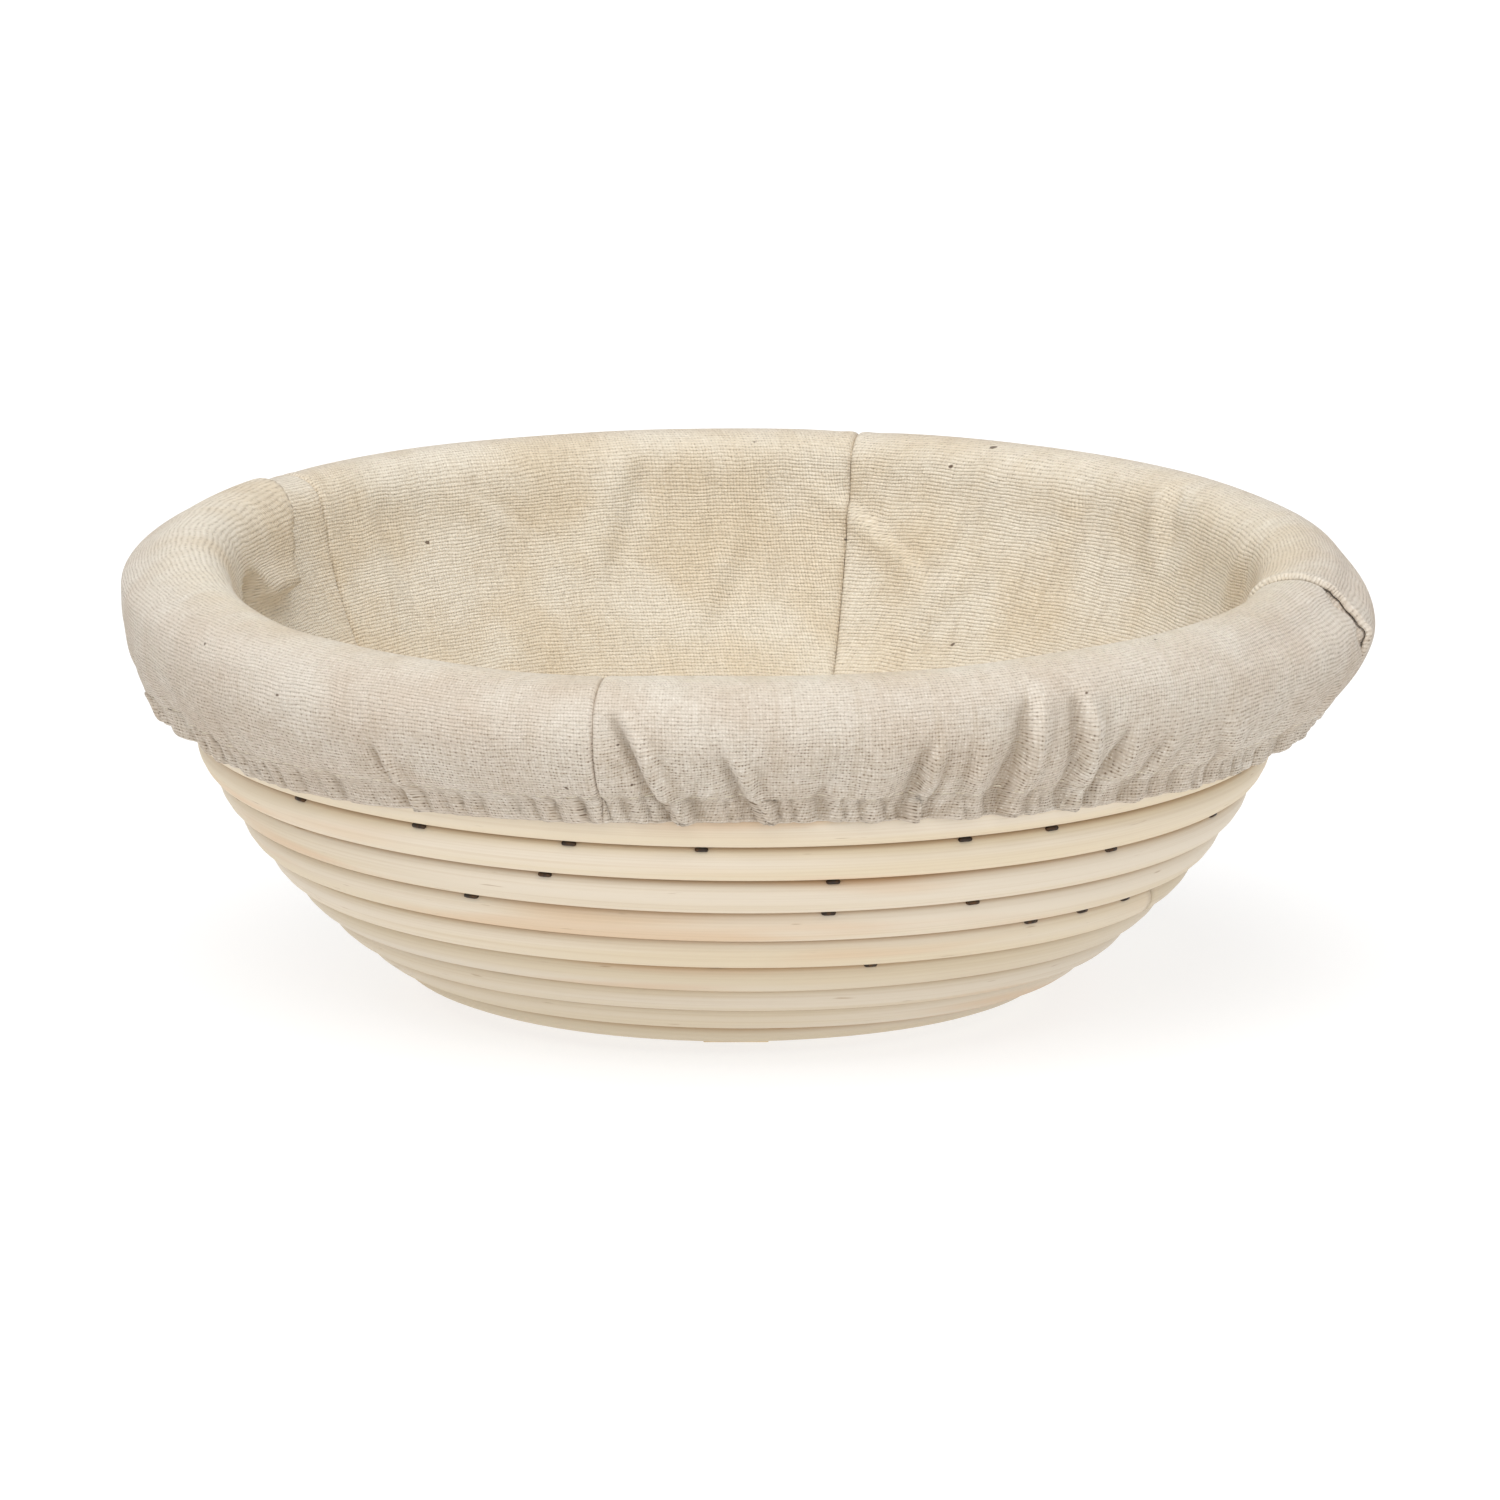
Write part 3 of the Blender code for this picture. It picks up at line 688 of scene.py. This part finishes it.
def seam_dip(name, distance, place):
    """How far the cloth turns under at a seam, and the ridge beside it."""
    near = np.abs(distance)
    depth = 1.5 * MM * smooth(place / 1.5) * np.exp(-(near / (0.30 * MM)) ** 1.3)
    swell = 0.15 * MM * np.exp(-((near - 1.6 * MM) / (1.2 * MM)) ** 2)
    pull = 0.25 * MM * np.exp(-(near / (6.0 * MM)) ** 2)
    if name == "right":
        front, width = distance < 0.0, 3.2 * MM
        step = np.where(front, -1.5 * MM, 1.3 * MM) * np.exp(-(near / width) ** 2)
        crown = smooth((place - 13.0) / 2.0) * smooth((19.0 - place) / 1.0)
        lap = np.where(front, -0.4 * MM, 0.7 * MM) * np.exp(-(near / width) ** 2)
        return swell - depth * 0.8 + gape(place) * step + crown * lap
    return swell - depth - pull * smooth((place - 14.0) / 3.0)


def gape(place):
    """How far the right seam is open, from 0 to 1, down the crown and skirt."""
    upper = np.exp(-((place - 19.0) / 0.5) ** 2)
    lower = np.exp(-((place - 20.5) / 0.4) ** 2)
    between = smooth((place - 18.0) / 0.5) * smooth((21.4 - place) / 0.5)
    return np.maximum(0.5 * between, np.maximum(0.85 * upper, 1.1 * lower))


def part_seam(az, r, place):
    """Azimuths with the two sides of the right seam drawn apart."""
    distance = seam_distance(az, r, SEAMS[1])
    sides = np.where(distance < 0.0, -1.0 * MM, 0.7 * MM)
    sides = np.where(np.abs(distance) < 1e-9, 0.0, sides)
    return az + gape(place) * sides * np.exp(-np.abs(distance) / (4.0 * MM)) / r


def creases(az, share):
    """The deep folds of the skirt: a slow fall, and a steep rise to a ridge."""
    total = np.zeros_like(az)
    for start, top, end, bottom, depth, width in CREASES:
        part = np.clip((share - top) / (bottom - top), 0.0, 1.0)
        line = np.radians(start + (end - start) * part)
        off = seam_distance(az, SKIRT_RADIUS, line) / (width * MM)
        run = smooth(part * 2.2) * smooth((1.12 - share) * 5.0)
        side = np.where(off < 0.0, 1.7, 0.6)
        valley = -np.exp(-np.abs(off / side) ** 1.5)
        total += depth * MM * run * (valley + 0.7 * np.exp(-((off - 1.3) / 0.9) ** 2))
    return total


def scallops(turn, count, plump, seed):
    """Plump folds side by side with narrow valleys, count of them in a turn."""
    phase = turn * count + 0.38 * wander(turn * count, seed, count)
    size = np.random.default_rng(seed + 1).uniform(0.35, 1.0, count)
    whole = np.floor(phase).astype(int)
    return size[whole % count] * np.sin(math.pi * (phase - whole)) ** plump


def gathers(az, share):
    """Folds that the elastic draws into the skirt, finer towards the hem."""
    total = np.zeros_like(az)
    turn = az / (2.0 * math.pi)
    middle, width, tight = CALM
    off = np.degrees(np.angle(np.exp(1j * (az - math.radians(middle)))))
    calm = 1.0 - tight * smooth((width + 4.0 - np.abs(off)) / 8.0)
    for count, size, top, soon, plump, seed in GATHERS:
        drift = 0.35 * wander(share * 1.6 + 5.0, seed + 20) / count
        busy = 0.65 + 0.35 * wander(turn * 14.0, seed + 40, 14)
        rise = smooth((share - top) / soon)
        if count < 100:
            rise = rise * calm
        total += size * MM * busy * rise * (scallops(turn + drift, count, plump, seed)
                                            - 0.45)
    return total


def slump(az, place):
    """Loose cloth that hangs over the inside of the rim beside a seam."""
    # It ends steeply at the seam and at its lower edge, and fades along the rim;
    # turned is the azimuth in degrees, from 0 to 360.
    turned = np.degrees(np.angle(np.exp(1j * (az - math.pi)))) + 180.0
    left = 147.5 + 3.5 * smooth((16.5 - place) / 3.0)
    edge = smooth((turned - left) / 1.1) * smooth((222.0 - turned) / 45.0)
    low = (12.9 + 0.9 * smooth((turned - 158.0) / 6.0)
           - 2.2 * smooth((turned - 166.0) / 14.0))
    hang = smooth((place - low) / 0.35) * smooth((17.8 - place) / 3.2)
    pit = np.exp(-((turned - 165.0) / 2.5) ** 2 - ((place - 13.2) / 0.4) ** 2)
    return MM * (5.4 * edge * hang - 1.0 * pit)


def bowl_relief(az, travel, place):
    """Soft waves, creases and loose cloth inside the bowl."""
    turn = az / (2.0 * math.pi)
    soft = (rumple(turn * 20.0, travel / (30.0 * MM), 61, 20)
            + 0.5 * rumple(turn * 43.0, travel / (15.0 * MM), 62, 43))
    relief = MM * 0.9 * soft
    for azimuth, width, top, reach, size in PUFFS:
        off = np.degrees(np.angle(np.exp(1j * (az - math.radians(azimuth)))))
        relief += size * MM * np.exp(-(off / width) ** 2 - ((place - top) / reach) ** 2)
    for start, top, end, bottom, depth in FOLDS:
        part = np.clip((top - place) / (top - bottom), 0.0, 1.0)
        line = np.radians(start + (end - start) * part)
        off = seam_distance(az, BOWL_RADIUS, line) / (2.2 * MM)
        run = smooth((top + 0.6 - place) / 1.2) * smooth((place - bottom + 0.8) / 1.6)
        valley = np.exp(-((off - 1.5) / 1.6) ** 2) - np.exp(-np.abs(off) ** 1.6)
        relief += depth * MM * run * valley
    return relief


def cloth_relief(az, r, place):
    """Height of the cloth above its plain shape, to its face side."""
    place = np.where(place > FOLD, FOLD - (place - FOLD) * 2.0 / 3.0, place)
    turn = az / (2.0 * math.pi)
    travel = np.interp(place, *travel_table())
    share = (place - SKIRT) / (FOLD - SKIRT)
    bowl = smooth((CROWN + 1.0 - place) / 3.0)
    crown = smooth((place - 14.0) / 2.0) * smooth((SKIRT + 1.0 - place) / 3.0)
    skirt = smooth((place - SKIRT + 2.0) / 3.0)
    relief = bowl * bowl_relief(az, travel, place) + slump(az, place)
    relief += crown * MM * (0.40 * rumple(turn * 26.0, travel / (20.0 * MM), 64, 26)
                            + 0.50 * rumple(turn * 9.0, travel / (40.0 * MM), 65, 9))
    relief += skirt * (gathers(az, share) + creases(az, share))
    for name, seam in zip(SEAM_NAMES, SEAMS):
        relief += seam_dip(name, seam_distance(az, r, seam), place)
    relief -= 0.5 * MM * np.exp(-((place - STITCHES) / 0.16) ** 2)
    deep = smooth((place - 15.0) / 3.0) * smooth((24.4 - place) / 2.0)
    floor = -1.6 * MM - 2.6 * MM * deep
    gap = 0.35 * MM
    high = np.clip((relief - floor) / gap, -30.0, 30.0)
    return floor + gap * np.log1p(np.exp(high))


@functools.lru_cache
def travel_table():
    """Places along the cloth's section and the distance walked to each."""
    places = np.linspace(0.0, LAST, 561)
    r, z = liner_outline(np.array([FRONT]))
    weights = curve_weights(places, LAST + 1)
    step = np.hypot(np.diff(weights @ r[:, 0]), np.diff(weights @ z[:, 0]))
    return places, np.concatenate(((0.0,), np.cumsum(step)))


def cloth_points(az, places, inset=0.0):
    """Points of the cloth for rows of places and columns of azimuths."""
    control_r, control_z = liner_outline(az)
    weights = curve_weights(places, LAST + 1)
    ahead = curve_weights(places + 0.01, LAST + 1)
    r, z = weights @ control_r, weights @ control_z
    dr, dz = ahead @ control_r - r, ahead @ control_z - z
    size = np.maximum(np.hypot(dr, dz), 1e-9)
    level = smooth((places - 22.0) / 1.8)[:, None]
    out, up = (1.0 - level) * -dz / size + level, (1.0 - level) * dr / size
    az = np.broadcast_to(az, r.shape)
    place = np.broadcast_to(places[:, None], r.shape)
    relief = cloth_relief(az, r, place) - inset
    az = part_seam(az, r, place)
    r, z = r + out * relief, z + up * relief
    return np.stack((r * np.cos(az), r * np.sin(az), z), axis=-1), r


def painted_shade_in_folds(az, r, places):
    """From 0 to DARKEST: painted shade for the skirt, by how far down between folds
    each point of the cloth lies.
    """
    place = np.broadcast_to(places[:, None], r.shape)
    relief = cloth_relief(np.broadcast_to(az, r.shape), r, place)
    wide = np.pad(relief, ((0, 0), (3, 3)), "edge")
    around = sum(wide[:, k:k + relief.shape[1]] for k in range(7)) / 7.0
    drop = (around - relief) / (0.6 * MM)
    return DARKEST * smooth(drop) * (place > 17.0) * (place < FOLD)


def gore_columns(start, end):
    """Azimuths of a gore's columns, closer together beside its seams."""
    beside = np.array(BESIDE_SEAM) * MM / HEM_RADIUS
    inner = (end - start) - 2.0 * beside[-1]
    count = int(round(inner / (COLUMN / HEM_RADIUS) / 8.0)) * 8
    middle = np.linspace(start + beside[-1], end - beside[-1], count + 1)
    return np.concatenate((start + beside[:-1], middle, end - beside[:-1][::-1]))


def row_step(place):
    """Only every so many columns are used where the bowl narrows."""
    if place < 2.9:
        return 8
    return 4 if place < 7.9 else (2 if place < 14.9 else 1)


def gore_faces(places, columns):
    """Faces of a grid whose rows near the centre have fewer points."""
    points_used, index, faces = [], {}, []
    for i, place in enumerate(places):
        step = row_step(place)
        picks = list(range(0, columns, step))
        if picks[-1] != columns - 1:
            picks.append(columns - 1)
        for j in picks:
            index[i, j] = len(points_used)
            points_used.append((i, j))
    by_row = [[j for (k, j) in points_used if k == i] for i in range(len(places))]
    for i in range(len(places) - 1):
        low, high = by_row[i], by_row[i + 1]
        for a, b in zip(low, low[1:]):
            top = [j for j in high if a <= j <= b] if len(high) != len(low) else [a, b]
            face = [index[i, a], index[i, b]] + [index[i + 1, j] for j in reversed(top)]
            faces.append(tuple(face))
    return points_used, faces


def build_gore(name, start, end, material):
    """One gore: up the bowl, over the rim, down the skirt and round the hem."""
    places = row_places()
    az = gore_columns(start, end)
    points, r = cloth_points(az, places)
    used, faces = gore_faces(places, len(az))
    used = np.array(used)
    piece = new_piece(f"linen_{name}", points[used[:, 0], used[:, 1]], faces,
                      material, "liner")
    travel = np.interp(places, *travel_table())
    across = (az - (start + end) / 2.0)[None] * np.minimum(r, HEM_RADIUS)
    down = np.broadcast_to(travel[:, None], r.shape)
    thread = np.stack((across, down, np.full_like(r, start)), axis=-1)
    lay_grain(piece, "thread", thread[used[:, 0], used[:, 1]])
    # Painted shade for the hollows between the skirt's folds, kept for the material.
    deep = painted_shade_in_folds(az, r, places)[used[:, 0], used[:, 1]]
    lay_grain(piece, "painted_fold_shade", np.repeat(deep[:, None], 3, axis=1))
    skin = piece.modifiers.new("cloth", "SOLIDIFY")
    skin.thickness = CLOTH
    skin.offset = 0.0
    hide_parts(f"liner_gore_{name}", f"liner_skirt_{name}")
    rows = np.diff(travel)[:, None] * np.diff(az)[None]
    flat = float((rows * r[1:, 1:]).sum()) * FULLNESS
    width = FULLNESS * (end - start) * CROWN_RADIUS
    return piece


def build_liner(material):
    """The four gores, each going on round the hem; the hem's CAD node is hidden."""
    ends = SEAMS[1:] + (SEAMS[0] + 2.0 * math.pi,)
    pieces = [build_gore(name, start, end, material)
              for name, start, end in zip(GORES, SEAMS, ends)]
    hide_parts("liner_hem")


def build_allowances(material):
    """Seam allowances, pressed open behind the seams from the base to the hem."""
    places = row_places()
    places = places[(places > 0.6) & (places < STITCHES - 0.6)]
    radius = cloth_points(np.array([FRONT]), places)[1]
    rows, wide = len(places), 7
    for name, seam in zip(SEAM_NAMES, SEAMS):
        half = ALLOWANCE + 0.35 * MM * wander(np.arange(rows) * 0.7, 81)
        points = []
        for row in range(rows):
            az = seam + np.linspace(-1.0, 1.0, wide) * half[row] / radius[row]
            points.append(cloth_points(az, places[row:row + 1], BEHIND)[0][0])
        points = np.array(points).reshape(-1, 3)
        faces = [(i * wide + j, i * wide + j + 1, (i + 1) * wide + j + 1,
                  (i + 1) * wide + j) for i in range(rows - 1) for j in range(wide - 1)]
        piece = new_piece(f"allowance_{name}", points, faces, material, "liner")
        travel = np.repeat(np.interp(places, *travel_table()), wide)
        across = np.tile(np.linspace(-5.0, 5.0, wide) * MM, rows)
        lay_grain(piece, "thread", np.stack((across, travel, across * 0.0 + 0.3),
                                            axis=-1))
        skin = piece.modifiers.new("cloth", "SOLIDIFY")
        skin.thickness = CLOTH
        skin.offset = 0.0
        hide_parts(f"seam_{name}")


def build_elastic(material):
    """The band that lies in the hem, between the cloth and its turned-in edge."""
    az = np.linspace(0.0, 2.0 * math.pi, 900, endpoint=False)
    places = np.linspace(23.75, 24.55, 4)
    face, back = (cloth_points(az, places, inset)[0] for inset in (0.6 * MM, 1.0 * MM))
    rings = np.concatenate((face, back[::-1])).transpose(1, 0, 2)
    sides = rings.shape[1]
    faces = []
    for i in range(len(az)):
        a, b = i * sides, (i + 1) % len(az) * sides
        for j in range(sides):
            k = (j + 1) % sides
            faces.append((a + j, b + j, b + k, a + k))
    piece = new_piece("elastic_band", rings.reshape(-1, 3), faces, material,
                      "liner")
    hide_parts("hem_elastic")


def build_stitches(material):
    """The row of stitches that closes the hem's casing."""
    count = int(2.0 * math.pi * HEM_RADIUS / STITCH)
    middle = np.arange(count) * 2.0 * math.pi / count
    az = middle[:, None] + np.array((-1.15, -0.8, 0.0, 0.8, 1.15)) * MM / HEM_RADIUS
    low, high = (cloth_points(az.ravel(), np.array((STITCHES,)), inset)[0][0]
                 for inset in (0.35 * MM, -0.32 * MM))
    paths = []
    for i in range(0, 5 * count, 5):
        paths.append(np.array((low[i], high[i + 1], high[i + 2], high[i + 3],
                               low[i + 4])))
    many_tubes("hem_stitches", paths, THREAD, 6, material, "liner")


# ---------------------------------------------------------------- studio
TILT = math.radians(12.756)      # of the view, down from level
VIEW_WIDTH = 283.6 * MM
VIEW_DISTANCE = 11.0
VIEW_AIM = (2.65 * MM, 0.0, 46.0 * MM)


def build_camera():
    """A long lens far away, so that the object keeps its proportions."""
    lens = bpy.data.cameras.new("camera")
    lens.sensor_width = 36.0
    lens.lens = 36.0 * VIEW_DISTANCE / VIEW_WIDTH
    lens.clip_end = 60.0
    camera = bpy.data.objects.new("camera", lens)
    camera.location = (VIEW_AIM[0], -VIEW_DISTANCE * math.cos(TILT),
                       VIEW_AIM[2] + VIEW_DISTANCE * math.sin(TILT))
    camera.rotation_euler = (math.pi / 2.0 - TILT, 0.0, 0.0)
    bpy.context.scene.collection.objects.link(camera)
    bpy.context.scene.camera = camera


def soft_light(name, azimuth, elevation, spread, strength):
    """A wide, even light from far away; angles in degrees."""
    lamp = bpy.data.lights.new(name, "SUN")
    lamp.energy = strength
    lamp.angle = math.radians(spread)
    light = bpy.data.objects.new(name, lamp)
    light.rotation_euler = (math.radians(90.0 - elevation), 0.0,
                            math.radians(azimuth + 90.0))
    bpy.context.scene.collection.objects.link(light)


def build_studio():
    """An even, bright room with soft light from above and from the front."""
    world = bpy.data.worlds.new("studio")
    world.use_nodes = True
    back = world.node_tree.nodes["Background"]
    back.inputs["Color"].default_value = (1.0, 1.0, 1.0, 1.0)
    back.inputs["Strength"].default_value = 0.46
    bpy.context.scene.world = world
    soft_light("overhead", 258.0, 66.0, 56.0, 2.15)
    soft_light("front_left", 205.0, 34.0, 24.0, 0.22)
    soft_light("front", 288.0, 12.0, 60.0, 0.54)
    bpy.context.scene.view_settings.view_transform = "Standard"
    new_stage("floor", 6.0, floor_material())


def new_stage(name, half, material):
    """A plain sheet to stand on, with a few faces so that it bakes evenly."""
    mesh = bpy.data.meshes.new(name)
    steps = np.linspace(-half, half, 9)
    points = [(x, y, 0.0) for y in steps for x in steps]
    faces = [(i * 9 + j, i * 9 + j + 1, i * 9 + j + 10, i * 9 + j + 9)
             for i in range(8) for j in range(8)]
    mesh.from_pydata(points, [], faces)
    mesh.materials.append(material)
    stage = bpy.data.objects.new(name, mesh)
    bpy.context.scene.collection.objects.link(stage)
    return stage


def finish_cad_node(name, material):
    """A CAD node that stays as it is, with its finish."""
    for slot in bpy.data.objects[name].material_slots:
        slot.material = material


def main():
    build_camera()
    steel, wood, linen = staple_material(), batten_material(), linen_material()
    # Painted shade: each strand gets its own copy of the cane material, darker for the
    # lower strands.
    for (name, start, end), shade_tone in zip(STRANDS, SHADE_TONES):
        cane_strand(name, start, end, cane_material("peeled_" + name, shade_tone))
    build_staples(steel)
    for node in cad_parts:
        if node.startswith("staple_batten"):
            finish_cad_node(node, steel)
        if node.startswith("batten"):
            finish_cad_node(node, wood)
    build_liner(linen)
    build_allowances(linen)
    build_elastic(elastic_material())
    build_stitches(thread_material())
    build_studio()


main()
